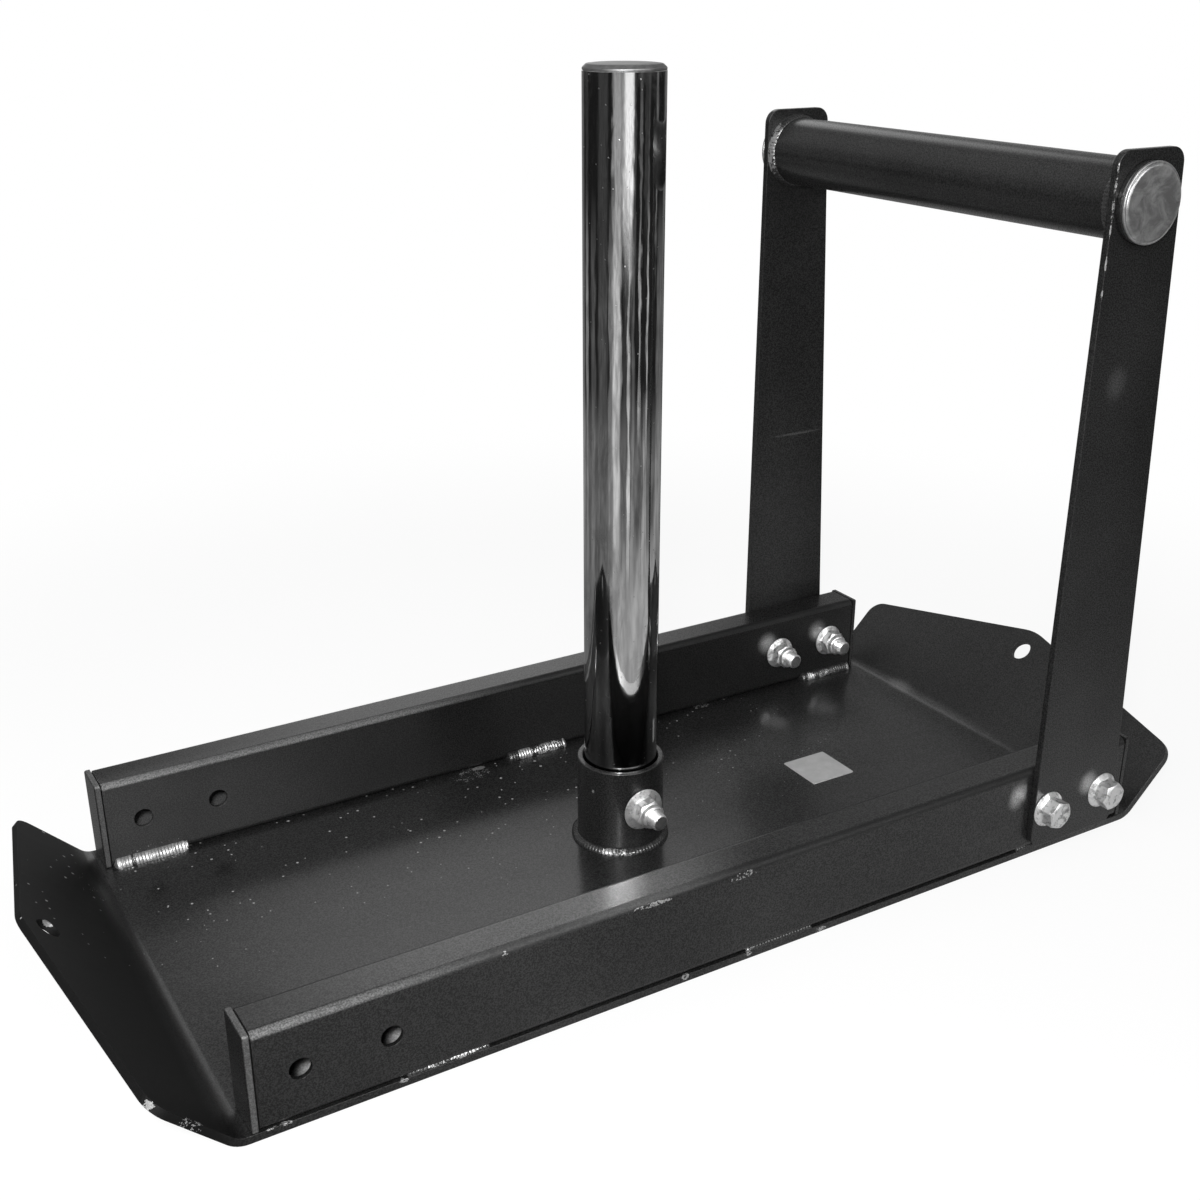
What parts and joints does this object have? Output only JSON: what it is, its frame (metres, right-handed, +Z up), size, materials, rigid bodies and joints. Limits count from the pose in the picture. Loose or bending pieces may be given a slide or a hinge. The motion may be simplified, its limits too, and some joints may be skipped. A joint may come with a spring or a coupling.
{
  "type": "push sled",
  "caption": "Low steel push sled: folded pan with upturned ends, welded side rails, upright weight post and a bolted push handle.",
  "frame": {"origin": "on the ground under the middle of the sled", "axes": "+X along the sled towards the push handle, +Y across it to its right hand side, +Z up"},
  "size_m": [0.8036, 0.366, 0.518],
  "materials": {
    "black_powder_coat": "fine textured satin powder coat with wear at corners and welds",
    "chrome_plate": "bright plated, lightly smudged and scratched along its length",
    "bright_zinc": "bright zinc plated",
    "bare_steel": "bare brushed steel, mottled",
    "label_film": "satin film, bare"
  },
  "bodies": {
    "root": {"base_pan": "black_powder_coat", "left_rail": "black_powder_coat", "right_rail": "black_powder_coat", "left_front_cap": "black_powder_coat", "left_rear_cap": "black_powder_coat", "right_front_cap": "black_powder_coat", "right_rear_cap": "black_powder_coat", "left_cap_seams": "black_powder_coat", "right_cap_seams": "black_powder_coat", "left_rail_welds": "black_powder_coat", "right_rail_welds": "black_powder_coat", "post_socket": "black_powder_coat", "socket_weld": "black_powder_coat", "weight_post": "chrome_plate", "post_cap": "bare_steel", "post_bolt": "bright_zinc", "post_nut": "bright_zinc", "left_upright": "black_powder_coat", "right_upright": "black_powder_coat", "handle_tube": "black_powder_coat", "left_tube_plug": "bare_steel", "right_tube_plug": "bare_steel", "left_tube_weld": "black_powder_coat", "right_tube_weld": "black_powder_coat", "left_handle_bolts": "bright_zinc", "right_handle_bolts": "bright_zinc", "left_handle_nuts": "bright_zinc", "right_handle_nuts": "bright_zinc", "label_plate": "label_film"}
  },
  "joints": []
}
